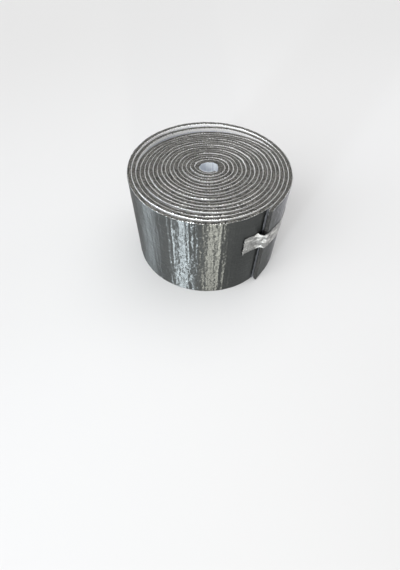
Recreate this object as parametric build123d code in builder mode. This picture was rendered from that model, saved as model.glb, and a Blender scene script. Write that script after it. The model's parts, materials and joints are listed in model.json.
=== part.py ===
"""Roll of self-adhesive insulation strip, standing on its end, in millimetres.

The strip is soft closed-cell foam with an aluminium foil facing on its outer side and
a peel-off release liner on its inner side. It is wound clockwise outwards, seen from
above, straight onto itself without a core. Its outer end, the tail, leaves a step on the
outside, and a piece of white tape across that step holds the roll closed.
The origin is on the bore's axis in the plane that the roll stands on, and +Z is up.
"""

import os
from math import cos, degrees, radians, sin

from build123d import *

# The strip, as it is cut and sold.
strip_width = 200.0
strip_thickness = 8.0
foil_thickness = 0.2
liner_thickness = 0.2

# The winding.
bore_radius = 18.0
turns = 17.0
tail_azimuth = 314.0

# The inner end of the strip, squeezed by the turns that pass over it.
inner_end_thickness = 5.0
inner_climb_angle = 60.0

# How far the foam's cut ends swell above the seams between one turn and the next.
crown_height = 1.2

# The turns behind the bore have slipped down: their upper edges slope away from a level
# line through the bore's axis, the second turn's a little and those inside it more.
slip_azimuth = 114.0
second_turn_slope = 2.0
inner_turns_slope = 5.4
slip_room = 20.0

# The slipped seams are cut a little deeper and wider than the level ones, and from a
# little in front of the level line, so that no two cuts lie in the same face.
slip_sink = 0.3
slip_past = 1.0
slip_overlap = 2.0

# The liner's free edge, which sticks out from under the tail.
liner_lip_length = 5.0

# The tape across the tail's step, with lengths measured round the roll.
tape_width = 48.0
tape_thickness = 0.2
tape_foot_height = 104.0
tape_on_tail = 105.0
tape_bridge = 14.0
tape_past_tail = 30.0

# Worked out from the sizes above.
lined_bore_radius = bore_radius + liner_thickness
tail_radius = lined_bore_radius + inner_end_thickness + turns * strip_thickness
inner_end_angle = 360 * turns
one_turn = second_turn = 360
third_turn, fourth_turn = 2 * one_turn, 3 * one_turn
centre_shift = strip_thickness / 4
up = Vector(0, 0, 1)
downhill = Vector(1, 0, 0).rotate(Axis.Z, slip_azimuth)
slip_hinge = Axis((0, 0, strip_width), up.cross(downhill))

# Sketches are drawn with the tail on the local +X axis.
floor_plane = Plane.XY.rotated((0, 0, tail_azimuth))
middle_plane = floor_plane.offset(strip_width / 2)
tape_plane = floor_plane.offset(tape_foot_height)
slip_plane = floor_plane.offset(strip_width - slip_room)
level_line_plane = Plane((0, 0, 0), z_dir=downhill)


def winding_centre(angle):
    """Centre of the half turn that holds a winding angle: the two centres take turns."""
    return Vector(centre_shift if angle % 360 < 180 else -centre_shift, 0)


def winding_radius(angle):
    """Radius of the half turn that holds a winding angle, on the foil's outer side."""
    return tail_radius - centre_shift - (angle // 180) * strip_thickness / 2


def winding_point(angle, rise=0.0):
    """Point on the winding, with rise measured outwards from the foil's outer side.

    The winding angle is counted in degrees, inwards and anticlockwise from the tail.
    """
    reach = winding_radius(angle) + rise
    direction = Vector(cos(radians(angle)), sin(radians(angle)))
    return winding_centre(angle) + direction * reach


def half_turns(start, stop):
    """Splits a stretch of the winding where one half turn ends and the next begins."""
    while start < stop:
        joint = min(stop, (start // 180 + 1) * 180)
        yield start, joint
        start = joint


def winding_arcs(start, stop, rise=0.0):
    """Draws a stretch of the winding as arcs, one for each half turn."""
    for low, high in half_turns(start, stop):
        CenterArc(winding_centre(low), winding_radius(low) + rise, low, high - low)


def winding_band(start, stop, low, high):
    """Draws the closed outline between two rises over a stretch of the winding."""
    winding_arcs(start, stop, low)
    winding_arcs(start, stop, high)
    for angle in (start, stop):
        Line(winding_point(angle, low), winding_point(angle, high))


def turn_below(length):
    """Winding angle at a length before the tail, on the turn that the tail lies on."""
    return 360 - degrees(length / winding_radius(360 - 1))


def bore_hole(radius):
    """A round hole with a pocket where the first turn climbs over the inner end."""
    climb_start = Vector(radius, 0).rotate(Axis.Z, inner_end_angle + inner_climb_angle)
    end_corner = Vector(radius + inner_end_thickness, 0).rotate(Axis.Z, inner_end_angle)
    with BuildSketch() as hole:
        Circle(radius)
        with BuildLine():
            TangentArc(climb_start, end_corner, tangent=climb_start.rotate(Axis.Z, -90))
            Polyline(end_corner, (0, 0), climb_start)
        make_face()
    return hole.sketch


def seam_valley(start, stop, sink=0.0, past=0.0):
    """The valley along a stretch of the seam on the floor end, from the middle of one
    turn's cut edge to the middle of the next one's, turned about each half turn's centre.
    It can lie deeper by a sink, and its flanks can run on past the cut edges' middles.
    """
    half_width = strip_thickness / 2 + past
    flank_end = sink - crown_height * past / (strip_thickness / 2)
    with BuildPart() as valley:
        for low, high in half_turns(start, stop):
            centre = floor_plane.from_local_coords(winding_centre(low))
            seam = floor_plane.from_local_coords(winding_point(low))
            outwards = (seam - centre).normalized()
            with BuildSketch(Plane(seam, x_dir=outwards, z_dir=outwards.cross(up))):
                with BuildLine():
                    Polyline(
                        (-half_width, flank_end),
                        (0, crown_height + sink),
                        (half_width, flank_end),
                        close=True,
                    )
                make_face()
            revolve(axis=Axis(centre, up), revolution_arc=high - low)
    return valley.part


def upper_valley(start, stop, sink=0.0, past=0.0):
    """The same valley on the upper end."""
    valley = seam_valley(start, stop, sink, past)
    return mirror(valley, about=middle_plane, mode=Mode.PRIVATE)


def slipped_valley(start, stop):
    """The valley behind the bore, where it tilts with the slipped turns."""
    valley = upper_valley(start, stop, slip_sink, slip_past)
    boundary = level_line_plane.offset(-slip_overlap)
    behind = split(valley, bisect_by=boundary, keep=Keep.TOP, mode=Mode.PRIVATE)
    return behind.rotate(slip_hinge, inner_turns_slope)


def slipped_wedge(first, slope):
    """What is missing above the turns inside a winding angle, where they have slipped."""
    with BuildPart() as wedge:
        with BuildSketch(slip_plane):
            with BuildLine():
                winding_arcs(first, first + one_turn)
                Line(winding_point(first + one_turn), winding_point(first))
            make_face()
        extrude(amount=slip_room)
        tilted = Plane((0, 0, strip_width), z_dir=up.rotate(slip_hinge, slope))
        split(bisect_by=tilted, keep=Keep.TOP)
    return wedge.part


def finish(piece, name):
    """Names a finished piece and writes its file."""
    piece.part.label = name
    export_step(piece.part, f"parts/{name}.step")


# The wound foam: one solid whose outline is the last turn, with the tail's step.
with BuildPart() as foam_roll:
    with BuildSketch(floor_plane):
        with BuildLine():
            winding_arcs(0, 360, -foil_thickness)
            Line(winding_point(360, -foil_thickness), winding_point(0, -foil_thickness))
        make_face()
        add(bore_hole(lined_bore_radius), mode=Mode.SUBTRACT)
    extrude(amount=strip_width)
    add(slipped_wedge(second_turn, second_turn_slope), mode=Mode.SUBTRACT)
    add(slipped_wedge(third_turn, inner_turns_slope), mode=Mode.SUBTRACT)
    add(seam_valley(second_turn, inner_end_angle), mode=Mode.SUBTRACT)
    for start in range(second_turn, int(inner_end_angle), one_turn):
        add(upper_valley(start, start + one_turn), mode=Mode.SUBTRACT)
    for start in range(fourth_turn, int(inner_end_angle), one_turn):
        add(slipped_valley(start, start + one_turn), mode=Mode.SUBTRACT)

# The foil facing, where it shows: on the outside of the last turn.
with BuildPart() as foil_facing:
    with BuildSketch(floor_plane):
        with BuildLine():
            winding_band(0, 360, -foil_thickness, 0)
        make_face()
    extrude(amount=strip_width)

# The release liner's first end, which lines the bore.
with BuildPart() as liner_in_bore:
    with BuildSketch(floor_plane):
        add(bore_hole(lined_bore_radius))
        add(bore_hole(bore_radius), mode=Mode.SUBTRACT)
    extrude(amount=strip_width)

# The release liner's last end, which lies on the foil in front of the tail.
with BuildPart() as liner_at_tail:
    with BuildSketch(floor_plane):
        with BuildLine():
            winding_band(turn_below(liner_lip_length), 360, 0, liner_thickness)
        make_face()
    extrude(amount=strip_width)

# The tape: on the tail, down across the step, and on the turn below.
tape_far_end = degrees(tape_on_tail / winding_radius(0))
tape_touchdown = turn_below(tape_bridge)
tape_near_end = turn_below(tape_bridge + tape_past_tail)
with BuildPart() as tail_tape:
    with BuildSketch(tape_plane):
        with BuildLine():
            for rise in (0, tape_thickness):
                winding_arcs(0, tape_far_end, rise)
                Line(winding_point(0, rise), winding_point(tape_touchdown, rise))
                winding_arcs(tape_near_end, tape_touchdown, rise)
            for angle in (tape_far_end, tape_near_end):
                Line(winding_point(angle, 0), winding_point(angle, tape_thickness))
        make_face()
    extrude(amount=tape_width)

os.makedirs("parts", exist_ok=True)
finish(foam_roll, "foam_roll")
finish(foil_facing, "foil_facing")
finish(liner_in_bore, "liner_in_bore")
finish(liner_at_tail, "liner_at_tail")
finish(tail_tape, "tail_tape")
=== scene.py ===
"""Looks of a roll of foil-faced foam insulation strip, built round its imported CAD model.

The strip is foam with a foil facing outside and a release liner inside, wound on itself.
Every piece follows the same winding as the CAD does, in metres.
"""

import json

import bpy
import numpy as np
from bpy.props import FloatProperty, FloatVectorProperty, IntProperty, PointerProperty
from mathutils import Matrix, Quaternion, Vector


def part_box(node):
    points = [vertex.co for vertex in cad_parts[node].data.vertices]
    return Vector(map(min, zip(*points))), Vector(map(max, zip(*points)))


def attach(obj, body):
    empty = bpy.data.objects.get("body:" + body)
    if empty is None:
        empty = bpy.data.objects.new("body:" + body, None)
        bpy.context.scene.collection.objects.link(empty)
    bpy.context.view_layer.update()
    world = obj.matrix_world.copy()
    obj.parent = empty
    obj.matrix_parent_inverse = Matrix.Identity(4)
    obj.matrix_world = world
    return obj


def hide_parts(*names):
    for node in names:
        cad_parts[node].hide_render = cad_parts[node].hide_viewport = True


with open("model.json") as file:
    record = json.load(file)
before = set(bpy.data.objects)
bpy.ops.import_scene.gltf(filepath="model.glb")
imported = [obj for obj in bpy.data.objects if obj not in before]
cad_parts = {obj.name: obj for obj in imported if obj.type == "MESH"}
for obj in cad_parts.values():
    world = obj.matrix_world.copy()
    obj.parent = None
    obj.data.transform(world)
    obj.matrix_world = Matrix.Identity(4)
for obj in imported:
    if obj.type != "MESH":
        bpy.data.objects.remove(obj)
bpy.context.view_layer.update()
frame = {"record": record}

bl_info = {
    "name": "Foil-faced insulation roll",
    "version": (1, 0, 0),
    "blender": (4, 5, 0),
    "location": "3D View > Sidebar > Insulation Roll",
    "description": "Builds a wound roll of foil-faced foam strip with its liner and tape",
    "category": "Add Mesh",
}

MM = 0.001
FULL_TURN = 2 * np.pi
BODY = "root"
STRIP_MAP = "strip"

# Degrees from +X to the roll's front, which faces the camera.
FRONT_AZIMUTH = 262

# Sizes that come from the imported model.
bore_mount = next(m for m in frame["record"]["mounts"] if m["name"] == "bore")
PACKED_BORE_RADIUS = bore_mount["dims"]["r_mm"] * MM
PACKED_STRIP_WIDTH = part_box("foam_roll")[1].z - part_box("foam_roll")[0].z
PACKED_TAPE_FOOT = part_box("tail_tape")[0].z
PACKED_TAPE_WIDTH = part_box("tail_tape")[1].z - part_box("tail_tape")[0].z


def length_property(name, description, default):
    """A property that holds a length in metres."""
    return FloatProperty(
        name=name, description=description, default=default, unit="LENGTH", precision=5
    )


def angle_property(name, description, degrees):
    """A property that holds an angle, given here in degrees."""
    return FloatProperty(
        name=name,
        description=description,
        default=float(np.radians(degrees)),
        subtype="ANGLE",
        unit="ROTATION",
    )


def colour_property(name, description, default):
    """A property that holds a linear colour."""
    return FloatVectorProperty(
        name=name, description=description, default=default, subtype="COLOR", min=0, max=1
    )


def power_property(name, description, default):
    """A property that holds a lamp's power in watts."""
    return FloatProperty(name=name, description=description, default=default, unit="POWER")


class RollSizes(bpy.types.PropertyGroup):
    """Sizes of the strip and of the way it is wound."""

    strip_width: length_property(
        "Strip width", "Width of the strip, which is the roll's height", PACKED_STRIP_WIDTH
    )
    strip_thickness: length_property(
        "Strip thickness", "Distance from one turn to the next", 0.008
    )
    bore_radius: length_property("Bore radius", "Radius of the open bore", PACKED_BORE_RADIUS)
    inner_end_thickness: length_property(
        "Inner end thickness", "Thickness of the squeezed inner end", 0.0052
    )
    inner_climb: angle_property(
        "Inner climb", "How far the first turn takes to climb over the inner end", 60
    )
    turns: FloatProperty(name="Turns", description="Number of turns", default=17.0, min=2)
    tail_azimuth: angle_property("Tail azimuth", "Where the tail ends, from +X", 314)
    film_thickness: length_property(
        "Film thickness", "Thickness of the foil and of the liner", 0.0002
    )
    slip_azimuth: angle_property(
        "Slip azimuth", "Towards where the slipped turns slope down, from +X", 114
    )
    second_turn_slope: angle_property(
        "Second turn's slope", "Slope of the second turn's upper edge behind the bore", 2.0
    )
    inner_turns_slope: angle_property(
        "Inner turns' slope", "Slope of the turns' upper edges inside the second", 5.4
    )
    front_rise: length_property(
        "Front rise", "How far the turns in front have slipped up", 0.0027
    )
    turn_steps: length_property(
        "Turn steps", "How far each turn stands above or below its neighbours", 0.0010
    )
    tail_lift: length_property("Tail lift", "How far the tail's end stands off", 0.003)
    tail_lift_length: length_property(
        "Tail lift length", "Length over which the tail's end stands off", 0.030
    )
    edge_wave: length_property(
        "Edge wave", "How far the films' edges wave sideways at the seams", 0.0017
    )
    edge_proud: length_property(
        "Edge proud", "How far the films' edges stand above the foam at the seams", 0.0006
    )
    edge_wave_length: length_property(
        "Edge wave length", "Length of one wave in the films' edges", 0.0046
    )
    crease_depth: length_property(
        "Crease depth", "Depth of the wide creases in the foil facing", 0.0006
    )
    lip_length: length_property(
        "Lip length", "How far the liner sticks out from under the tail", 0.0035
    )


class TapeSizes(bpy.types.PropertyGroup):
    """Sizes of the tape that holds the tail."""

    width: length_property("Width", "Width of the tape", PACKED_TAPE_WIDTH)
    foot: length_property("Foot", "Height of the tape's lower edge", PACKED_TAPE_FOOT)
    on_tail: length_property("On tail", "Length that sticks to the tail", 0.105)
    bridge: length_property("Bridge", "Length that bridges the tail's step", 0.014)
    past_tail: length_property("Past tail", "Length stuck to the turn below", 0.030)
    fold_depth: length_property("Fold depth", "How far the fold stands off", 0.004)
    sag: length_property("Sag", "How far the tape has slid down on the tail", 0.009)


class RollColours(bpy.types.PropertyGroup):
    """Colours of the materials."""

    foam: colour_property("Foam", "Cut foam", (0.082, 0.08, 0.073))
    foil: colour_property("Foil", "Aluminium facing", (0.098, 0.103, 0.101))
    liner: colour_property("Liner", "Release liner", (0.74, 0.78, 0.87))
    tape: colour_property("Tape", "Closing tape", (0.16, 0.16, 0.156))
    floor: colour_property("Floor", "Floor", (0.78, 0.78, 0.78))


class StageLight(bpy.types.PropertyGroup):
    """Strengths of the world and the lamps."""

    world: FloatProperty(name="World", description="Strength of the world", default=0.46)
    key: FloatProperty(name="Key", description="Strength of the broad key light", default=0.9)
    front: FloatProperty(
        name="Front", description="Strength of the broad light in front", default=1.5
    )
    cool_strip: power_property("Cool strip", "Power of the cool strip light", 4.2)
    warm_strip: power_property("Warm strip", "Power of the warm strip light", 2.3)
    right_fill: power_property("Right fill", "Power of the dim light on the right", 1.8)
    left_fill: power_property("Left fill", "Power of the wide light on the left", 3.4)


class RollSettings(bpy.types.PropertyGroup):
    """All that a user may change."""

    sizes: PointerProperty(type=RollSizes)
    tape: PointerProperty(type=TapeSizes)
    colours: PointerProperty(type=RollColours)
    light: PointerProperty(type=StageLight)
    seed: IntProperty(name="Seed", description="Seed of the wrinkles", default=7)


def settings():
    """The scene's settings."""
    return bpy.context.scene.insulation_roll


# The winding


def tail_radius():
    """Outer radius at the tail: the bore, the squeezed inner end and all turns on it."""
    sizes = settings().sizes
    return sizes.bore_radius + sizes.inner_end_thickness + sizes.turns * sizes.strip_thickness


def half_turn(angle):
    """Number of the half turn that holds each winding angle, counted from the tail."""
    tolerance = 1e-9
    return np.maximum(np.ceil(np.asarray(angle) / np.pi - tolerance) - 1, 0)


def half_turn_centre(angle):
    """Two centres, a quarter thickness to each side of the axis, take turns."""
    side = np.where(half_turn(angle) % 2 == 0, 1.0, -1.0)
    return side * settings().sizes.strip_thickness / 4


def half_turn_radius(angle):
    """Each half turn is half a thickness smaller than the last, on the foil's outer side."""
    thickness = settings().sizes.strip_thickness
    return tail_radius() - thickness / 4 - half_turn(angle) * thickness / 2


def length_along(angle):
    """Length of strip from the tail to a winding angle: the sum of the half circles."""
    thickness = settings().sizes.strip_thickness
    whole = half_turn(angle)
    start = np.pi * (whole * (tail_radius() - thickness / 4) - thickness * whole * (whole - 1) / 4)
    return start + (np.asarray(angle) - whole * np.pi) * half_turn_radius(angle)


def stations(start, stop, spacing):
    """Winding angles an even length apart, found by turning the length formula round."""
    samples = 40001
    table = np.linspace(start, stop, samples)
    lengths = length_along(table)
    count = int(np.ceil((lengths[-1] - lengths[0]) / spacing)) + 1
    return np.interp(np.linspace(lengths[0], lengths[-1], count), lengths, table)


def warp(x, y):
    """Pushes turns in and out together: a sum of two, three and five lobes round the axis,
    turned a little with the radius, full between bore and rim and small at both."""
    sizes = settings().sizes
    least, more_between = 0.4 * MM, 1.3 * MM
    radius = np.hypot(x, y)
    azimuth = np.arctan2(y, x)
    share = np.clip((radius - sizes.bore_radius) / (tail_radius() - sizes.bore_radius), 0, 1)
    swell = least + more_between * np.sin(np.pi * share) ** 2
    lobes = (
        0.55 * np.cos(2 * azimuth + 0.8 + 1.5 * share)
        + 0.45 * np.cos(3 * azimuth - 1.1 + 2.0 * share)
        + 0.35 * np.cos(5 * azimuth + 2.3 - 2.5 * share)
    )
    scale = 1 + swell * lobes / radius
    return x * scale, y * scale


def tail_lift(angle):
    """The tail's end stands off: the lift grows with the square of the way to the end."""
    sizes = settings().sizes
    left = np.clip(1 - length_along(angle) / sizes.tail_lift_length, 0, 1)
    return sizes.tail_lift * left**2


def in_plan(angle, rise):
    """Plan point at a winding angle, with the rise measured outwards from the foil's face."""
    azimuth = settings().sizes.tail_azimuth
    reach = half_turn_radius(angle) + tail_lift(angle) + rise
    x = half_turn_centre(angle) + np.cos(angle) * reach
    y = np.sin(angle) * reach
    turned_x = x * np.cos(azimuth) - y * np.sin(azimuth)
    turned_y = x * np.sin(azimuth) + y * np.cos(azimuth)
    return warp(turned_x, turned_y)


def inner_rise(angle):
    """Rise of the strip's inner side: one thickness down, but the bore's radius on the
    innermost turn, where the climb over the inner end fades with the square of the angle
    left."""
    sizes = settings().sizes
    past = angle - FULL_TURN * (sizes.turns - 1)
    left = np.clip(1 - past / sizes.inner_climb, 0, 1)
    bore = sizes.bore_radius + sizes.inner_end_thickness * left**2
    centre = half_turn_centre(angle)
    reach = np.sqrt(bore**2 - (centre * np.sin(angle)) ** 2) - centre * np.cos(angle)
    in_bore = past > 0
    return np.where(in_bore, reach - half_turn_radius(angle), -sizes.strip_thickness)


def bump_towards(azimuth, centre_degrees, power):
    """One at the centre, nothing a quarter turn away: the cosine, raised to a power."""
    return np.maximum(np.cos(azimuth - np.radians(centre_degrees)), 0) ** power


def ripple(position, shortest, longest, waves, seed):
    """Smooth unevenness along a line, about one high: sines of random length and phase."""
    rng = np.random.default_rng(settings().seed + seed)
    lengths = np.exp(rng.uniform(np.log(shortest), np.log(longest), waves))
    phases = rng.uniform(0, FULL_TURN, waves)
    total = np.zeros(np.shape(position))
    for length, phase in zip(lengths, phases):
        total += np.sin(FULL_TURN * position / length + phase)
    return total / np.sqrt(waves)


def by_turn(angle, values):
    """Steady value for each turn, taken from a list, that blends into the next one over a
    third of the way round, on the side of the roll opposite the tail."""
    blend_start, blend_share = 0.35, 0.3
    place = angle / FULL_TURN
    turn = np.clip(np.floor(place), 0, len(values) - 2).astype(int)
    blend = np.clip((place - turn - blend_start) / blend_share, 0, 1)
    return values[turn] * (1 - blend) + values[turn + 1] * blend


def turn_step(angle):
    """Unevenness from turn to turn: every other one stands up, the rest lie low, and the
    two outermost stand alike."""
    rng = np.random.default_rng(settings().seed + 5)
    count = int(settings().sizes.turns) + 2
    least, two_outermost = 0.35, 0.3
    side = np.where(np.arange(count) % 2 == 0, 1.0, -1.0)
    heights = side * rng.uniform(least, 1, count)
    heights[:2] = two_outermost
    return by_turn(angle, heights)


def turn_show(angle):
    """How much of the films' edges a turn shows: every other one much, the rest and the
    second one little."""
    rng = np.random.default_rng(settings().seed + 6)
    count = int(settings().sizes.turns) + 2
    little, much, second = 0.65, 1.2, 0.6
    show = np.where(np.arange(count) % 2 == 0, little, much)
    show[1] = second
    return by_turn(angle, show + rng.uniform(-0.25, 0.25, count))


def top_height(angle):
    """Height of the strip's upper edge. Behind the bore it lies in planes that slope down
    from a level line through the axis, level at first, then gently, then more. In front
    the last turn dips and the turns inside it have slipped up, both by a cosine of the way
    round to the front, and each turn wanders a little on its way."""
    sizes = settings().sizes
    dip_depth, wander_height, wander_from, rise_power = 1.6 * MM, 0.7 * MM, 0.9, 0.8
    turn = angle / FULL_TURN
    azimuth = angle + sizes.tail_azimuth
    gentle = np.tan(sizes.second_turn_slope)
    steep = np.tan(sizes.inner_turns_slope)
    slope = np.interp(turn, [0.7, 1.2, 1.7, 2.2], [0, gentle, gentle, steep])
    behind = half_turn_radius(angle) * bump_towards(azimuth, np.degrees(sizes.slip_azimuth), 1)
    rise = np.interp(turn, [0.6, 1.1, 1.6, 2.1, 3.1, 3.4], [0, 0, 0.35, 0.35, 0.4, 1])
    dip = np.interp(turn, [0, 0.55, 0.7, 1.0, 1.15], [0, 0, 1, 1, 0])
    wander = ripple(length_along(angle), 0.12, 0.7, waves=9, seed=11)
    wander = wander * np.clip(turn - wander_from, 0, 1)
    return (
        sizes.strip_width
        - slope * behind
        + sizes.front_rise * rise * bump_towards(azimuth, FRONT_AZIMUTH, rise_power)
        - dip_depth * dip * bump_towards(azimuth, FRONT_AZIMUTH, 1)
        + sizes.turn_steps * turn_step(angle)
        + wander_height * wander
    )


def foot_height(angle):
    """Height of the strip's lower edge: the last turn stands on the floor, others nearly."""
    mean_gap = 0.3 * MM
    wander = ripple(length_along(angle), 0.15, 0.6, waves=7, seed=23)
    return mean_gap * (1 + np.clip(wander, -1, 1)) * np.clip(angle / FULL_TURN - 1, 0, 1)


# Meshes


def sweep(name, x, y, z, along, across):
    """Mesh of a closed profile carried along a path: one row of points a station, each
    joined to the next row, with both ends capped. The map holds lengths in metres. If the
    volume inside comes out below nought, every face is turned over."""
    sharp_angle, closing_length = np.radians(50), 1 * MM
    rows, columns = x.shape
    points = np.stack([x, y, z], -1).reshape(-1, 3)
    row, column = np.divmod(np.arange((rows - 1) * columns), columns)
    corner_rows = np.stack([row, row, row + 1, row + 1], -1)
    corner_columns = np.stack([column, column + 1, column + 1, column], -1)
    quads = corner_rows * columns + corner_columns % columns
    closed = np.concatenate([across, across[:, -1:] + closing_length], 1)
    u = along[corner_rows]
    v = closed[corner_rows, corner_columns]
    first_cap = np.arange(columns)[::-1]
    last_cap = np.arange(columns)
    a, b, c, d = points[quads.T]
    volume = np.einsum("ij,ij->", np.cross(b - a, c - a), a)
    volume += np.einsum("ij,ij->", np.cross(c - a, d - a), a)
    if volume < 0:
        quads = quads[:, ::-1]
        u = u[:, ::-1]
        v = v[:, ::-1]
        first_cap, last_cap = last_cap, first_cap
    last_row = (rows - 1) * columns
    faces = [*quads.tolist(), first_cap.tolist(), (last_row + last_cap).tolist()]
    mesh = bpy.data.meshes.new(name)
    mesh.from_pydata(points.tolist(), [], faces)
    caps_u = np.repeat([along[0], along[-1]], columns)
    caps_v = np.concatenate([across[0][first_cap], across[-1][last_cap]])
    all_u = np.concatenate([u.ravel(), caps_u])
    all_v = np.concatenate([v.ravel(), caps_v])
    layer = mesh.uv_layers.new(name=STRIP_MAP)
    layer.data.foreach_set("uv", np.stack([all_u, all_v], -1).ravel().astype(np.float32))
    mesh.polygons.foreach_set("use_smooth", np.ones(len(faces), bool))
    mesh.set_sharp_from_angle(angle=sharp_angle)
    mesh.update()
    piece = bpy.data.objects.new(name, mesh)
    bpy.context.scene.collection.objects.link(piece)
    return piece


def dress(piece, surface, slot, *nodes):
    """Gives a finished piece its material, the nodes it stands for and its body. Its slot is not
    used.
    """
    piece.data.materials.append(surface)
    if nodes:
        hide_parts(*nodes)
    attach(piece, BODY)


def profile_lengths(x, y, z):
    """Length round the profile at each of its points, for the map."""
    step = np.sqrt(np.diff(x, axis=1) ** 2 + np.diff(y, axis=1) ** 2 + np.diff(z, axis=1) ** 2)
    start = np.zeros((x.shape[0], 1))
    return np.concatenate([start, np.cumsum(step, 1)], 1)


def round_profile(rows, back):
    """Shares of the width round a thin profile, in even rows up its face and by the given
    shares down its back, and which of them are on its face."""
    share = np.concatenate([np.linspace(0, 1, rows), back])[None, :]
    return share, np.arange(share.size) < rows


def wound_foam():
    """The foam from tail to inner end. Its profile is flat ends with rounded corners, the
    drop growing with the cube of the distance from the middle, plus a fine unevenness."""
    sizes = settings().sizes
    rng = np.random.default_rng(settings().seed)
    spacing, rounding, below_films = 2.4 * MM, 0.9 * MM, 0.2 * MM
    behind_foil, rough_mm = 0.45 * MM, 0.16
    angle = stations(0, FULL_TURN * sizes.turns, spacing)[:, None]
    top = np.array([0.0, 0.04, 0.12, 0.3, 0.5, 0.7, 0.88, 0.96, 1.0])
    foot = np.array([1.0, 0.9, 0.5, 0.1, 0.0])
    share = np.concatenate([top, foot])[None, :]
    on_top = np.arange(share.size) < top.size
    low = inner_rise(angle) + sizes.film_thickness
    high = -sizes.film_thickness - np.where(angle < FULL_TURN, behind_foil, 0)
    drop = rounding * np.abs(2 * share - 1) ** 3
    rough = rng.uniform(-rough_mm, rough_mm, (angle.size, share.size)) * MM
    upper = top_height(angle) - below_films - drop + rough
    lower = foot_height(angle) + drop
    x, y = in_plan(angle, low + (high - low) * share)
    z = np.where(on_top, upper, lower) + 0 * x
    piece = sweep("wound_foam", x, y, z, length_along(angle[:, 0]), profile_lengths(x, y, z))
    dress(piece, foam_surface("cut foam", painted_lightness=1.0), "foam", "foam_roll")
    # Painted shade: both end caps get the foam darkened to 0.12 of its colour, for the shadow on
    # the tail's cut face.
    piece.data.materials.append(foam_surface("cut ends painted shade", painted_lightness=0.12))
    for end in piece.data.polygons[-2:]:
        end.material_index = 1


def crinkle(u, v, cells, seed):
    """Creased sheet, from none to one: folded sines, bent by two slower ones, so that each
    makes sharp ridges with soft hollows between them."""
    rng = np.random.default_rng(settings().seed + seed)
    bend_by_v, bend_by_u, slant = 0.9, 0.7, 0.35
    slower_v, slower_u = 1.7, 2.9
    total = np.zeros(np.broadcast(u, v).shape)
    for wide, tall in cells:
        phase = rng.uniform(0, FULL_TURN, 3)
        bend = bend_by_v * np.sin(FULL_TURN * v / (tall * slower_v) + phase[0])
        bend = bend + bend_by_u * np.sin(FULL_TURN * u / (wide * slower_u) + phase[1])
        wave = np.sin(FULL_TURN * (u / wide + v / tall * slant) / 2 + bend + phase[2])
        total = total + 1 - np.abs(wave)
    return total / len(cells)


def outer_foil():
    """The foil on the last turn. It stands off the foam by creases that run up the strip,
    sharp ridges across them, and a broad quilting, all of them even height fields that
    fade out under the tail. Its upper and lower rims bend in to the foam."""
    sizes = settings().sizes
    spacing, overlap, tucked, fade = 1.7 * MM, 0.03, 0.02, 0.03
    rim_from, rim_share, foot_share = 0.985, 0.015, 0.01
    inset, back, bend, uneven = 0.1 * MM, 0.35 * MM, 0.3 * MM, 0.25 * MM
    angle = stations(0, FULL_TURN + overlap, spacing)[:, None]
    share, outside = round_profile(rows=118, back=[rim_from, 0.5, rim_share])
    u = length_along(angle)
    v = share * sizes.strip_width
    streak_cells = [(0.011, 0.30), (0.017, 0.42), (0.007, 0.21), (0.026, 0.36)]
    streaks = crinkle(u, v, streak_cells, seed=31)
    folds = crinkle(v, u, [(0.045, 0.06), (0.071, 0.11), (0.03, 0.05)], seed=37)
    quilt = ripple(u + 0.4 * v, 0.03, 0.12, waves=7, seed=41)
    quilt = quilt * ripple(v - 0.2 * u, 0.04, 0.15, waves=7, seed=43)
    free = np.clip((FULL_TURN - tucked - angle) / fade, 0, 1)
    stand = sizes.crease_depth * (1.1 * streaks + 0.55 * folds**3 + 0.25 * quilt) * free
    rim = np.clip((share - rim_from) / rim_share, 0, 1) * outside
    foot = np.clip((foot_share - share) / foot_share, 0, 1) * outside
    rise = np.where(outside, stand - inset, -back) - bend * (rim + foot)
    edge = uneven * ripple(u, 0.006, 0.05, waves=9, seed=47) * rim
    x, y = in_plan(angle, rise)
    z = foot_height(angle) + share * (top_height(angle) - foot_height(angle)) + edge
    piece = sweep("outer_foil", x, y, z, u[:, 0], v + 0 * x)
    dress(piece, foil_surface(), "foil", "foil_facing")


def film_bands(name, angle, base, lean, proud, depth):
    """A film's edge along the seams. It is a thin wedge that leans to one side, further
    and further up to its edge, and waves as a crinkled edge does. A depth below nought
    makes the lower edge, which is the same upside down."""
    sizes = settings().sizes
    level = np.array([-1.0, -0.07, -0.02, 0.0])
    ramp = np.array([0.0, 0.1, 0.45, 1.0])
    level = np.concatenate([level, level[::-1]])[None, :]
    ramp = np.concatenate([ramp, ramp[::-1]])[None, :]
    outer = (np.arange(level.size) < level.size // 2)[None, :]
    u = length_along(angle)
    rise = base + lean * ramp + sizes.film_thickness * outer
    x, y = in_plan(angle, rise)
    if depth > 0:
        z = top_height(angle) + level * depth + proud * ramp
    else:
        z = foot_height(angle) + level * depth - np.minimum(proud, foot_height(angle)) * ramp
    return sweep(name, x, y, z, u[:, 0], profile_lengths(x, y, z))


def edge_waves(angle, seed):
    """Sideways waves of a crinkled film edge, from none to one: a sine to the power of one
    and a half, uneven in length and strength."""
    sizes = settings().sizes
    most_wander, mean_strength, strength_swing = 1.8, 0.65, 0.35
    u = length_along(angle)
    wander = most_wander * ripple(u, 0.012, 0.05, waves=9, seed=seed)
    uneven = np.clip(ripple(u, 0.01, 0.06, waves=9, seed=seed + 1), -1, 1)
    strength = mean_strength + strength_swing * uneven
    wave = 0.5 + 0.5 * strength * np.sin(FULL_TURN * u / sizes.edge_wave_length + wander)
    return wave**1.5


def edge_proud(angle, wave, seed):
    """How far a film's edge stands above the foam: much at the tops of its waves, below
    the foam's crown between them, and uneven from place to place."""
    swing, level_wave = 1.6 * MM, 0.75
    uneven = np.clip(ripple(length_along(angle), 0.008, 0.09, waves=9, seed=seed), -1, 1)
    show = turn_show(angle) * (1 + 0.5 * uneven)
    return settings().sizes.edge_proud * show + swing * (wave - level_wave)


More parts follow.
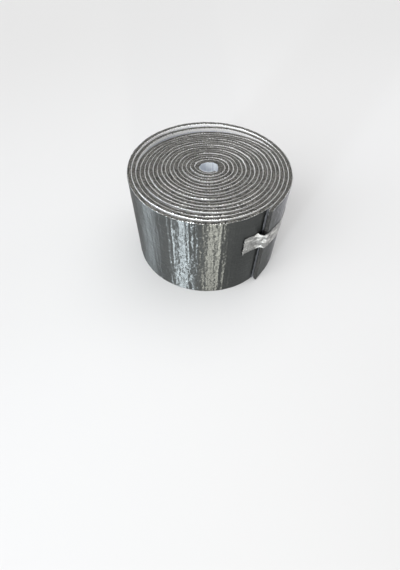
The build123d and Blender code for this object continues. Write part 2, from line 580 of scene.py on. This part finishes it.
def film_edges(start, stop):
    """For the upper and the lower edge of a film in turn: its name, its winding angles, its
    sideways waves and its band's depth."""
    for name, spacing, depth in (("upper", 0.95 * MM, 14 * MM), ("lower", 2.2 * MM, -4 * MM)):
        angle = stations(start, stop, spacing)[:, None]
        yield name, angle, edge_waves(angle, seed=53), depth


def foil_turn_edges():
    """The foil's edges, where they stand out at the rim and the seams, above and below.
    They lean inwards, and those of the last turn start behind the outer foil."""
    sizes = settings().sizes
    start, rim_end = 0.02, FULL_TURN + 0.05
    lean_back, behind_foil = 0.3 * MM, 0.6 * MM
    for name, angle, wave, depth in film_edges(start, FULL_TURN * sizes.turns):
        lean = lean_back - sizes.edge_wave * turn_show(angle) * wave
        proud = edge_proud(angle, wave, seed=59)
        base = np.where(angle < rim_end, -behind_foil, -sizes.film_thickness)
        piece = film_bands(f"foil_edges_{name}", angle, base, lean, proud, depth)
        dress(piece, foil_edge_surface(), "foil")


def liner_turn_edges():
    """The edges of the liner on every turn's inner side but the innermost, where they stand
    out at the seams, above and below. They lean outwards, as the waves of the foil do
    inwards."""
    sizes = settings().sizes
    stop = FULL_TURN * (sizes.turns - 1) + 0.1
    lean_back, clear = 0.3 * MM, 0.02 * MM
    for name, angle, wave, depth in film_edges(0, stop):
        lean = sizes.edge_wave * turn_show(angle) * wave - lean_back
        proud = edge_proud(angle, wave, seed=67)
        base = inner_rise(angle) + clear
        piece = film_bands(f"liner_edges_{name}", angle, base, lean, proud, depth)
        dress(piece, liner_edge_surface(), "liner")


def bore_lining():
    """The liner in the bore: folds run up it, as folded sines of the length round it, and
    fade out at both its ends. Its upper edge stands up unevenly, and at the inner end it
    grows to a tab, with the square of the way there."""
    sizes = settings().sizes
    end = FULL_TURN * sizes.turns
    spacing, fold_depth, fold_fade, back = 1.0 * MM, 1.1 * MM, 0.15, 0.15 * MM
    edge_height, uneven, edge_from = 0.5 * MM, 0.3 * MM, 0.97
    tab_height, tab_angle = 2.6 * MM, 0.5
    angle = stations(end - FULL_TURN, end, spacing)[:, None]
    share, inside = round_profile(rows=44, back=[0.99, 0.5, 0.01])
    u = length_along(angle)
    v = share * sizes.strip_width
    folds = crinkle(u, v, [(0.009, 0.5), (0.014, 0.7), (0.006, 0.4)], seed=71)
    ends = np.clip(np.minimum(angle - end + FULL_TURN, end - angle) / fold_fade, 0, 1)
    rise = inner_rise(angle) - np.where(inside, fold_depth * folds * ends, -back)
    tab = tab_height * np.clip((angle - end + tab_angle) / tab_angle, 0, 1) ** 2
    edge = edge_height + tab + uneven * ripple(u, 0.008, 0.03, waves=7, seed=73)
    edge = edge * (share > edge_from)
    x, y = in_plan(angle, rise)
    z = foot_height(angle) + share * (top_height(angle) - foot_height(angle)) + edge
    piece = sweep("bore_lining", x, y, z, u[:, 0], v + 0 * x)
    # Painted light: the liner in the bore is lightened by 1.14, for the light on the bore's far
    # wall.
    dress(piece, liner_surface(painted_lightness=1.14), "liner", "liner_in_bore")


def liner_lip():
    """The liner's free edge in front of the tail: flat under the tail, lifting and waving
    more towards its free side."""
    sizes = settings().sizes
    rows, columns, tucked = 110, 12, 0.02
    above_foil, lift, wave_height = 0.25 * MM, 0.15 * MM, 0.7 * MM
    foot_gap, shorter = 0.3 * MM, 1.2 * MM
    reach = float(half_turn_radius(FULL_TURN))
    free_side = FULL_TURN - sizes.lip_length / reach
    angle = np.linspace(free_side, FULL_TURN + tucked, columns)[:, None]
    share, outer = round_profile(rows, np.linspace(1, 0, rows))
    free = np.clip((FULL_TURN - angle) * reach / sizes.lip_length, 0, 1)
    v = share * sizes.strip_width
    wave = 0.5 + 0.5 * np.clip(ripple(v, 0.012, 0.06, waves=9, seed=79), -1, 1)
    rise = above_foil + free * (lift + wave_height * wave) + outer * sizes.film_thickness
    x, y = in_plan(angle, rise)
    z = foot_height(angle) + foot_gap + share * (sizes.strip_width - shorter) + 0 * x
    piece = sweep("liner_lip", x, y, z, length_along(angle[:, 0]), v + 0 * x)
    # Painted shade: the liner at the lip is darkened to 0.16 of its colour, for the shadow in
    # front of the tail.
    dress(piece, liner_surface(painted_lightness=0.16), "liner", "liner_at_tail")


def eased(values):
    """Running mean of a line's values, which runs on past both ends as it came."""
    window = 5
    longer = np.pad(values, window // 2, mode="reflect", reflect_type="odd")
    return np.convolve(longer, np.ones(window) / window, "valid")


def tape_path(spacing):
    """The tape's line in plan: on the turn below, straight across the step, on the tail,
    with its corners eased by a running mean, and the outward direction at each point."""
    tape = settings().tape
    over_foil, over_tail = 0.3 * MM, 0.45 * MM
    points_below, points_on_tail = 200, 400
    below = float(half_turn_radius(FULL_TURN))
    above = float(half_turn_radius(0))
    near = FULL_TURN - (tape.bridge + tape.past_tail) / below
    touch = FULL_TURN - tape.bridge / below
    stretches = [
        in_plan(np.linspace(near, touch, points_below), over_foil),
        in_plan(np.linspace(0, tape.on_tail / above, points_on_tail), over_tail),
    ]
    x = np.concatenate([s[0] for s in stretches])
    y = np.concatenate([s[1] for s in stretches])
    length = np.concatenate([[0], np.cumsum(np.hypot(np.diff(x), np.diff(y)))])
    even = np.arange(0, length[-1], spacing)
    x = eased(np.interp(even, length, x))
    y = eased(np.interp(even, length, y))
    dx, dy = np.gradient(x), np.gradient(y)
    size = np.hypot(dx, dy)
    return even, x, y, dy / size, -dx / size


def closing_tape():
    """The tape: its line in plan carried up its width, with creases, a fold that stands off
    at the step as a bell curve, a round dent beside it, and a torn end that flares. The
    fold draws the edges together, and the tape sags along the tail by a smooth step."""
    sizes = settings().sizes
    tape = settings().tape
    spacing, rows, torn_length, sag_length = 1.0 * MM, 52, 0.012, 0.06
    clear, crease_depth, dent_depth, torn_lift = 0.3 * MM, 1.3 * MM, 3.2 * MM, 1.2 * MM
    fold_before, fold_width, fold_from, fold_share = 4 * MM, 6 * MM, 0.45, 0.55
    dent_before, dent_width, dent_middle, dent_share = 1 * MM, 5 * MM, 0.62, 0.12
    flare, fold_up, top_uneven, low_uneven = 2.0 * MM, 3.0 * MM, 0.7 * MM, 0.8 * MM
    narrowed, fold_pinch, lively_reach, least_lively = 0.86, 0.12, 0.05, 0.25
    u, x, y, out_x, out_y = (part[:, None] for part in tape_path(spacing))
    share, outer = round_profile(rows, np.linspace(1, 0, rows))
    v = share * tape.width
    step = tape.past_tail + tape.bridge
    torn = np.clip(1 - u / torn_length, 0, 1)
    creases = crinkle(u, v, [(0.009, 0.03), (0.016, 0.05), (0.006, 0.02)], seed=83)
    cross = crinkle(v, u, [(0.012, 0.04), (0.02, 0.07)], seed=89)
    lively = np.clip(1.2 - np.abs(u - step) / lively_reach, least_lively, 1)
    bell = np.exp(-(((u - step + fold_before) / fold_width) ** 2))
    off_middle = ((share - dent_middle) / dent_share) ** 2
    dent = np.exp(-(((u - step + dent_before) / dent_width) ** 2) - off_middle)
    off = crease_depth * (creases + 0.8 * cross) * lively + clear
    off = off + tape.fold_depth * bell * np.clip((share - fold_from) / fold_share, 0, 1) ** 2
    off = off - dent_depth * dent
    off = off + torn_lift * torn**2
    rise = off + outer * sizes.film_thickness
    top_wave = top_uneven * ripple(u, 0.006, 0.03, waves=7, seed=97)
    low_wave = low_uneven * ripple(u, 0.008, 0.04, waves=7, seed=101)
    top_edge = flare * torn + fold_up * bell + top_wave
    low_edge = -flare * torn + low_wave
    slide = flare * torn * ripple(v, 0.006, 0.03, waves=7, seed=103)
    px = x + out_x * rise + out_y * slide
    py = y + out_y * rise - out_x * slide
    pinch = narrowed - fold_pinch * bell
    z = tape.foot + tape.width / 2 + (v - tape.width / 2) * pinch
    z = z + top_edge * share**2 + low_edge * (1 - share) ** 2
    sag = np.clip((u - step) / sag_length, 0, 1)
    z = z - tape.sag * (3 * sag**2 - 2 * sag**3)
    piece = sweep("closing_tape", px, py, z, u[:, 0], v + 0 * px)
    dress(piece, tape_surface(), "tape", "tail_tape")


# Materials


class Surface:
    """A material under construction: its nodes, and links between them."""

    def __init__(self, name, sockets):
        self.material = bpy.data.materials.new(name)
        self.material.use_nodes = True
        self.nodes = self.material.node_tree.nodes
        self.links = self.material.node_tree.links
        self.shader = self.nodes["Principled BSDF"]
        for socket, value in sockets.items():
            self.shader.inputs[socket].default_value = value

    def add(self, kind, values=None, **options):
        """A new node, with options set on it and values on its sockets."""
        node = self.nodes.new(kind)
        for option, value in options.items():
            setattr(node, option, value)
        for socket, value in (values or {}).items():
            node.inputs[socket].default_value = value
        return node

    def join(self, source, target):
        """Links an output to an input."""
        self.links.new(source, target)

    def feed(self, socket, source):
        """Links an output to one of the shader's inputs."""
        self.join(source, self.shader.inputs[socket])

    def place(self, along, across):
        """The strip's own map, in metres, scaled along the strip and across it."""
        uv = self.add("ShaderNodeUVMap", uv_map=STRIP_MAP)
        mapping = self.add("ShaderNodeMapping", {"Scale": (along, across, 1)})
        self.join(uv.outputs["UV"], mapping.inputs["Vector"])
        return mapping.outputs["Vector"]

    def object_place(self):
        """Object coordinates, in metres."""
        return self.add("ShaderNodeTexCoord").outputs["Object"]

    def noise(self, place, scale=1.0, detail=3.0, roughness=0.5, distortion=0.0):
        """Cloudy noise at a place."""
        values = {"Scale": scale, "Detail": detail, "Roughness": roughness}
        node = self.add("ShaderNodeTexNoise", values | {"Distortion": distortion})
        self.join(place, node.inputs["Vector"])
        return node.outputs["Fac"]

    def cells(self, place, scale=1.0, feature="DISTANCE_TO_EDGE"):
        """Distance to cell middles or edges at a place."""
        node = self.add("ShaderNodeTexVoronoi", {"Scale": scale}, feature=feature)
        self.join(place, node.inputs["Vector"])
        return node.outputs["Distance"]

    def ramp(self, factor, stops):
        """Colour ramp through stops of position and colour."""
        node = self.add("ShaderNodeValToRGB")
        elements = node.color_ramp.elements
        while len(elements) < len(stops):
            elements.new(0.5)
        for element, (position, colour) in zip(elements, stops):
            element.position = position
            element.color = (*colour, 1)
        self.join(factor, node.inputs["Fac"])
        return node.outputs["Color"]

    def tint(self, factor, colour, amounts):
        """The base colour: one colour made darker or lighter through stops of position and
        amount."""
        stops = [(position, shade(colour, amount)) for position, amount in amounts]
        self.feed("Base Color", self.ramp(factor, stops))

    def bump(self, height, distance, strength, before=None):
        """Bump from a height, on top of an earlier one."""
        node = self.add("ShaderNodeBump", {"Distance": distance, "Strength": strength})
        self.join(height, node.inputs["Height"])
        if before is not None:
            self.join(before, node.inputs["Normal"])
        return node.outputs["Normal"]


def painted_highlight_tip(made, base):
    """The colour of a film's edge, by the length round its profile: a white painted highlight
    where the profile turns over, which is in the middle of that length."""
    profile_length, tip = 0.033, (0.95, 0.95, 0.95)
    uv = made.add("ShaderNodeUVMap", uv_map=STRIP_MAP)
    parts = made.add("ShaderNodeSeparateXYZ")
    made.join(uv.outputs["UV"], parts.inputs["Vector"])
    share = made.add("ShaderNodeMapRange", {"From Max": profile_length})
    made.join(parts.outputs["Y"], share.inputs["Value"])
    # Painted highlight: white across the middle of the profile, the base colour on either side.
    stops = [(0.37, base), (0.4, tip), (0.59, tip), (0.62, base)]
    made.feed("Base Color", made.ramp(share.outputs["Result"], stops))


def shade(colour, amount):
    """A colour made darker or lighter by a share."""
    return tuple(min(1.0, part * amount) for part in colour[:3])


def foam_surface(name, painted_lightness):
    """Matt foam whose cut cells show as fine dark and light specks. A painted lightness below one
    darkens it as painted shade.
    """
    made = Surface(name, {"Roughness": 0.82, "IOR": 1.4, "Sheen Weight": 0.1})
    place = made.object_place()
    specks = made.noise(place, 330, roughness=0.7)
    colour = shade(settings().colours.foam, painted_lightness)
    made.tint(specks, colour, [(0.4, 0.2), (0.5, 0.8), (0.6, 3.0)])
    pits = made.cells(place, 800, feature="F1")
    made.feed("Normal", made.bump(pits, distance=0.0005, strength=0.8))
    return made.material


def foil_surface():
    """Rolled foil: its rolling lines run along the strip, so highlights stretch across it.
    Streaks up the strip, a net of creases, folds along it and a fine grain are bumps."""
    finish = {"Metallic": 1.0, "Roughness": 0.41, "Anisotropic": 0.97}
    made = Surface("rolled foil", finish | {"Anisotropic Rotation": 0.25})
    tangent = made.add("ShaderNodeTangent", direction_type="UV_MAP", uv_map=STRIP_MAP)
    made.feed("Tangent", tangent.outputs["Tangent"])
    clouds = made.noise(made.place(14, 5), detail=4)
    made.tint(clouds, settings().colours.foil, [(0.3, 0.8), (0.7, 1.2)])
    streaks = made.noise(made.place(110, 9), detail=1.5, distortion=0.6)
    net = made.cells(made.place(110, 65))
    fine = made.noise(made.place(600, 260), detail=2)
    cross = made.noise(made.place(45, 110), detail=2, distortion=1.2)
    first = made.bump(streaks, distance=0.0009, strength=0.8)
    second = made.bump(net, distance=0.0014, strength=0.45, before=first)
    third = made.bump(cross, distance=0.0019, strength=0.6, before=second)
    fourth = made.bump(fine, distance=0.0002, strength=0.4, before=third)
    made.feed("Normal", fourth)
    return made.material


def foil_edge_surface():
    """The foil at the seams: grey below, with a white painted highlight at its cut edge, and
    crumpled.
    """
    made = Surface("foil edges", {"Metallic": 0.6, "Roughness": 0.35})
    painted_highlight_tip(made, (0.28, 0.285, 0.29))
    crumples = made.noise(made.place(500, 200))
    made.feed("Normal", made.bump(crumples, distance=0.0006, strength=0.6))
    return made.material


def release_film(name):
    """Glossy film with small wrinkles across the strip, still without its colour."""
    made = Surface(name, {"Roughness": 0.35, "IOR": 1.5})
    wrinkles = made.noise(made.place(260, 40))
    made.feed("Normal", made.bump(wrinkles, distance=0.0014, strength=0.5))
    return made


def liner_edge_surface():
    """The liner at the seams: bluish below, with a white painted highlight at its cut edge."""
    made = release_film("liner edges")
    painted_highlight_tip(made, shade(settings().colours.liner, 0.8))
    return made.material


def liner_surface(painted_lightness):
    """The liner's bluish face, made lighter or darker by a share: painted light where it is
    lighter, painted shade where it is darker.
    """
    made = release_film("release liner")
    colour = shade(settings().colours.liner, painted_lightness)
    made.tint(made.noise(made.place(160, 22)), colour, [(0.3, 0.82), (0.65, 1.08)])
    return made.material


def tape_surface():
    """White packing tape, glossy and creased, with painted highlights and painted shade in cloudy
    patches of grey.
    """
    made = Surface("closing tape", {"Roughness": 0.3, "IOR": 1.5})
    clouds = made.noise(made.place(42, 75), distortion=0.8)
    # Painted highlights and painted shade: the lighter and darker patches stand for light on its
    # crumples, laid out by noise.
    made.tint(clouds, settings().colours.tape, [(0.38, 0.55), (0.5, 0.9), (0.62, 2.2)])
    net = made.cells(made.place(130, 170))
    folds = made.noise(made.place(70, 40), detail=2, distortion=1.0)
    first = made.bump(folds, distance=0.0050, strength=0.8)
    made.feed("Normal", made.bump(net, distance=0.0012, strength=0.6, before=first))
    return made.material


# Stage


def round_place(azimuth, distance, height):
    """Point at an azimuth in degrees and a distance from the axis."""
    turn = np.radians(azimuth)
    return (distance * float(np.cos(turn)), distance * float(np.sin(turn)), height)


def hang(data, place, aim):
    """Puts a lamp at a place, turned to a point, where the camera doesn't see it."""
    lamp = bpy.data.objects.new(data.name, data)
    lamp.location = place
    towards = Vector(aim) - Vector(place)
    lamp.rotation_mode = "QUATERNION"
    lamp.rotation_quaternion = towards.to_track_quat("-Z", "Y")
    lamp.visible_camera = False
    bpy.context.scene.collection.objects.link(lamp)


def strip_lamp(name, azimuth, width, power, colour):
    """A strip light that stands low at an azimuth in degrees, with a grid that keeps its
    beam on the roll."""
    distance, height, tall, grid_angle = 3.0, 0.18, 0.3, 35
    middle_of_roll = (0, 0, 0.1)
    data = bpy.data.lights.new(name, "AREA")
    data.shape = "RECTANGLE"
    data.size = width
    data.size_y = tall
    data.spread = float(np.radians(grid_angle))
    data.energy = power
    data.color = colour
    hang(data, round_place(azimuth, distance, height), middle_of_roll)


def distant_lamp(name, azimuth, elevation, width, strength):
    """A broad distant light, as a large softbox gives it, with its angles in degrees."""
    data = bpy.data.lights.new(name, "SUN")
    data.angle = float(np.radians(width))
    data.energy = strength
    height = float(np.tan(np.radians(elevation)))
    hang(data, round_place(azimuth, 1.0, height), (0, 0, 0))


def lay_floor():
    """A square floor under the roll."""
    half = 9.0
    corners = [(-half, -half, 0), (half, -half, 0), (half, half, 0), (-half, half, 0)]
    mesh = bpy.data.meshes.new("floor")
    mesh.from_pydata(corners, [], [(0, 1, 2, 3)])
    floor = bpy.data.objects.new("floor", mesh)
    bpy.context.scene.collection.objects.link(floor)
    surface = Surface("pale floor", {"Roughness": 0.9, "Specular IOR Level": 0.0})
    surface.shader.inputs["Base Color"].default_value = (*settings().colours.floor, 1)
    mesh.materials.append(surface.material)


def light_world():
    """White all round: the camera sees it as a backdrop, and the roll is lit by less."""
    backdrop = 0.9
    world = bpy.data.worlds.new("studio")
    world.use_nodes = True
    background = world.node_tree.nodes["Background"]
    background.inputs["Color"].default_value = (1, 1, 1, 1)
    path = world.node_tree.nodes.new("ShaderNodeLightPath")
    mix = world.node_tree.nodes.new("ShaderNodeMapRange")
    mix.inputs["To Min"].default_value = settings().light.world
    mix.inputs["To Max"].default_value = backdrop
    world.node_tree.links.new(path.outputs["Is Camera Ray"], mix.inputs["Value"])
    world.node_tree.links.new(mix.outputs["Result"], background.inputs["Strength"])
    bpy.context.scene.world = world


def studio():
    """Floor, world, lamps and camera."""
    lay_floor()
    light_world()
    light = settings().light
    distant_lamp("key", azimuth=60, elevation=70, width=60, strength=light.key)
    distant_lamp("front", azimuth=228, elevation=38, width=50, strength=light.front)
    cool, warm, violet = (0.86, 0.93, 1.0), (1.0, 0.96, 0.86), (0.94, 0.9, 1.0)
    strip_lamp("cool strip", azimuth=242, width=0.26, power=light.cool_strip, colour=cool)
    strip_lamp("left fill", azimuth=192, width=1.5, power=light.left_fill, colour=cool)
    strip_lamp("right fill", azimuth=22, width=1.2, power=light.right_fill, colour=violet)
    strip_lamp("warm strip", azimuth=279, width=0.16, power=light.warm_strip, colour=warm)
    place_camera()


def place_camera():
    """The camera, as it was fitted to the roll's rims and sides."""
    scene = bpy.context.scene
    data = bpy.data.cameras.new("photo camera")
    data.sensor_width = 36
    data.lens = 20.91
    data.shift_x = -0.0025
    data.shift_y = 0.0005
    camera = bpy.data.objects.new("photo camera", data)
    camera.location = (0.0020, -0.5433, 0.5921)
    looking = Vector((-0.010279, 0.565839, -0.824456))
    roll = Quaternion((0, 0, 1), float(np.radians(1.4506)))
    camera.rotation_mode = "QUATERNION"
    camera.rotation_quaternion = looking.to_track_quat("-Z", "Y") @ roll
    scene.collection.objects.link(camera)
    scene.camera = camera
    scene.view_settings.view_transform = "Standard"


# Operators


class RollOperator:
    """What all the roll's operators share."""

    bl_options = {"REGISTER", "UNDO"}

    def execute(self, context):
        """Builds what the operator is for."""
        self.build()
        return {"FINISHED"}


class INSULATION_OT_stage(RollOperator, bpy.types.Operator):
    """Build the floor, the world, the lamps and the camera"""

    bl_idname = "insulation_roll.stage"
    bl_label = "Stage"

    def build(self):
        studio()


class INSULATION_OT_foam(RollOperator, bpy.types.Operator):
    """Build the wound foam"""

    bl_idname = "insulation_roll.foam"
    bl_label = "Wound foam"

    def build(self):
        wound_foam()


class INSULATION_OT_foil(RollOperator, bpy.types.Operator):
    """Build the foil facing and the foil's edges between the turns"""

    bl_idname = "insulation_roll.foil"
    bl_label = "Foil"

    def build(self):
        outer_foil()
        foil_turn_edges()


class INSULATION_OT_liner(RollOperator, bpy.types.Operator):
    """Build the liner's edges, its bore lining and its free lip"""

    bl_idname = "insulation_roll.liner"
    bl_label = "Liner"

    def build(self):
        liner_turn_edges()
        bore_lining()
        liner_lip()


class INSULATION_OT_tape(RollOperator, bpy.types.Operator):
    """Build the tape that holds the tail"""

    bl_idname = "insulation_roll.tape"
    bl_label = "Closing tape"

    def build(self):
        closing_tape()


OPERATORS = (
    INSULATION_OT_stage,
    INSULATION_OT_foam,
    INSULATION_OT_foil,
    INSULATION_OT_liner,
    INSULATION_OT_tape,
)


class INSULATION_PT_panel(bpy.types.Panel):
    """Lists the roll's settings and its operators"""

    bl_idname = "INSULATION_PT_panel"
    bl_label = "Insulation Roll"
    bl_space_type = "VIEW_3D"
    bl_region_type = "UI"
    bl_category = "Insulation Roll"

    def draw(self, context):
        roll = context.scene.insulation_roll
        for group in (roll.sizes, roll.tape, roll.colours, roll.light):
            box = self.layout.box()
            for name in group.__annotations__:
                box.prop(group, name)
        self.layout.prop(roll, "seed")
        for operator in OPERATORS:
            self.layout.operator(operator.bl_idname)


CLASSES = (
    RollSizes,
    TapeSizes,
    RollColours,
    StageLight,
    RollSettings,
    *OPERATORS,
    INSULATION_PT_panel,
)


def register():
    """Registers the classes and hangs the settings on the scene."""
    for item in CLASSES:
        bpy.utils.register_class(item)
    bpy.types.Scene.insulation_roll = PointerProperty(type=RollSettings)


def unregister():
    """Takes away what register adds."""
    del bpy.types.Scene.insulation_roll
    for item in reversed(CLASSES):
        bpy.utils.unregister_class(item)


def main():
    """Builds everything in order."""
    register()
    bpy.ops.insulation_roll.stage()
    bpy.ops.insulation_roll.foam()
    bpy.ops.insulation_roll.foil()
    bpy.ops.insulation_roll.liner()
    bpy.ops.insulation_roll.tape()


if __name__ == "__main__":
    main()
